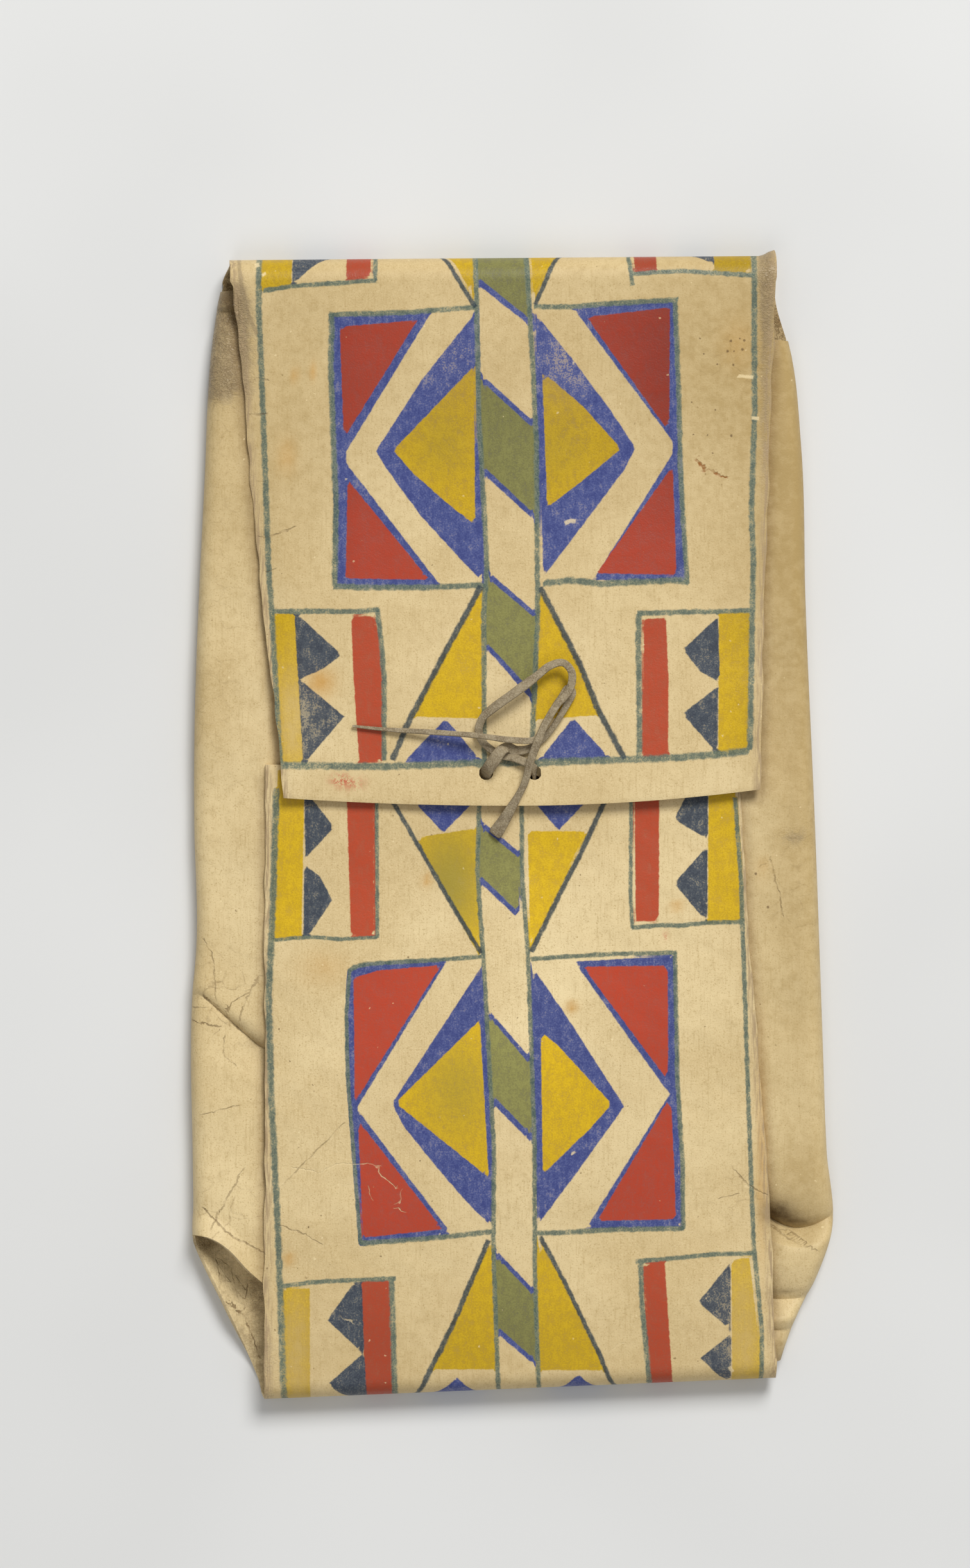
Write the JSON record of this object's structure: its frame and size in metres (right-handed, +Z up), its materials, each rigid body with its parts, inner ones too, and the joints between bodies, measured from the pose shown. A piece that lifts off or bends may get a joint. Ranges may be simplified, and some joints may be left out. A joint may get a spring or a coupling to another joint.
{
  "type": "parfleche envelope",
  "caption": "Folded rawhide carrying envelope with painted geometric flaps that overlap at the middle and are tied shut by a buckskin thong.",
  "frame": {"origin": "middle of the underside: the envelope lies on its back with the painted flaps up", "axes": "+X across the envelope to the right, +Y along it to the upper fold, +Z up out of the painted flaps"},
  "size_m": [0.372, 0.6631, 0.0407],
  "materials": {
    "rawhide": "cream rawhide with waxy painted red, yellow, olive, blue and green geometric fields, satin",
    "buckskin": "grey-tan suede buckskin, matt"
  },
  "bodies": {
    "root": {"folded_hide": "rawhide", "tie_thong": "buckskin"}
  },
  "joints": []
}
